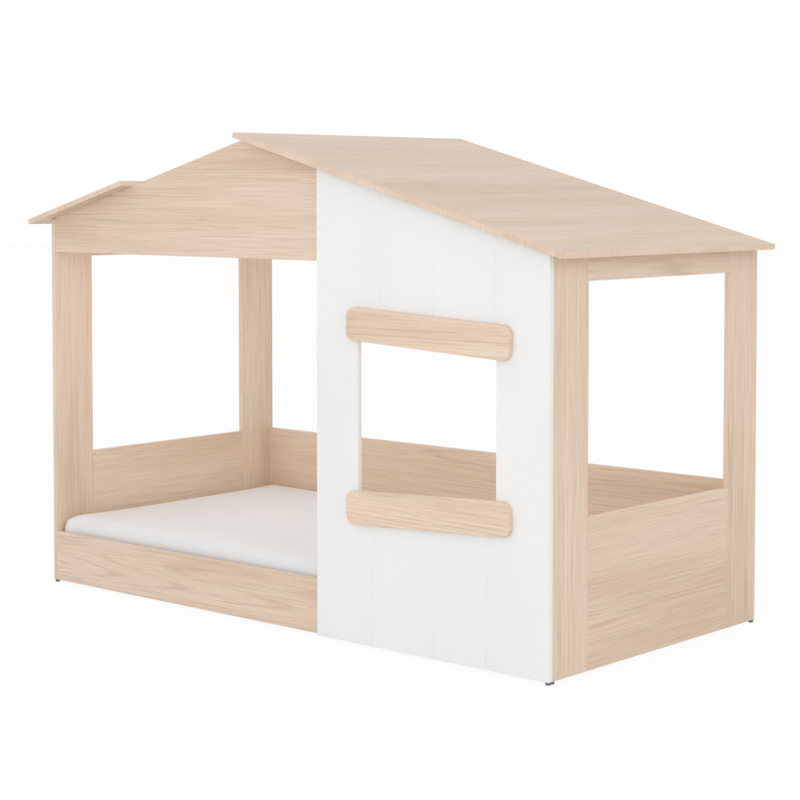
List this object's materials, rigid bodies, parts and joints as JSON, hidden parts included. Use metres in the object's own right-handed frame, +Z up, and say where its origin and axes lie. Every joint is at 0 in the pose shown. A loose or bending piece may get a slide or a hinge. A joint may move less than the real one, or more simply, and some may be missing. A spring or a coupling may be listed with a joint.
{
  "type": "house frame bed",
  "caption": "Low child's bed in a house-shaped board frame, with a part roof, guard panels, a white facade with a window, a slatted base and a mattress.",
  "frame": {"origin": "on the floor, under the middle of the roof, which is the widest part of the bed", "axes": "+X along the bed towards the facade's end, +Y from the front rail to the back panel, +Z up"},
  "size_m": [2.056, 0.99, 1.3803],
  "materials": {
    "light_oak_board": "matt light oak print on particle board",
    "white_board": "matt white melamine on particle board",
    "pine": "planed bare pine",
    "beech_dowel": "fluted bare beech",
    "zinc_steel": "bright zinc",
    "glide_plastic": "moulded grey polythene",
    "white_cotton": "white cotton fitted sheet over a foam core"
  },
  "bodies": {
    "bed_frame": {"back_cleat": "pine", "back_gable": "light_oak_board", "back_panel": "light_oak_board", "beam_leg_1": "pine", "beam_leg_2": "pine", "beam_leg_3": "pine", "centre_beam": "pine", "cleat_screws": "zinc_steel", "eave_block_screws": "zinc_steel", "eave_roof_screws": "zinc_steel", "end_frame_dowels": "beech_dowel", "facade_glide": "glide_plastic", "facade_panel": "white_board", "facade_screws": "zinc_steel", "frame_screws": "zinc_steel", "front_cleat": "pine", "front_gable": "light_oak_board", "front_rail": "light_oak_board", "left_back_glide": "glide_plastic", "left_back_post": "light_oak_board", "left_eave_block": "pine", "left_end_panel": "light_oak_board", "left_front_glide": "glide_plastic", "left_front_post": "light_oak_board", "left_roof_board": "light_oak_board", "left_top_rail": "light_oak_board", "leg_glides": "glide_plastic", "leg_screws": "zinc_steel", "rail_dowels": "beech_dowel", "right_back_glide": "glide_plastic", "right_back_post": "light_oak_board", "right_eave_block": "pine", "right_end_panel": "light_oak_board", "right_front_glide": "glide_plastic", "right_front_post": "light_oak_board", "right_roof_board": "light_oak_board", "right_top_rail": "light_oak_board", "roof_angle_screws": "zinc_steel", "roof_angles": "zinc_steel", "slat_01": "pine", "slat_02": "pine", "slat_03": "pine", "slat_04": "pine", "slat_05": "pine", "slat_06": "pine", "slat_07": "pine", "slat_08": "pine", "slat_09": "pine", "slat_10": "pine", "slat_11": "pine", "slat_12": "pine", "slat_13": "pine", "slat_14": "pine", "slat_screws": "zinc_steel", "window_bar_screws": "zinc_steel", "window_lintel_bar": "light_oak_board", "window_sill_bar": "light_oak_board"},
    "mattress": {"mattress": "white_cotton"}
  },
  "joints": [
    {"name": "mattress_lift", "type": "slide", "parent": "bed_frame", "child": "mattress", "axis": [0, 0, 1], "range_m": [0, 0.25]}
  ]
}
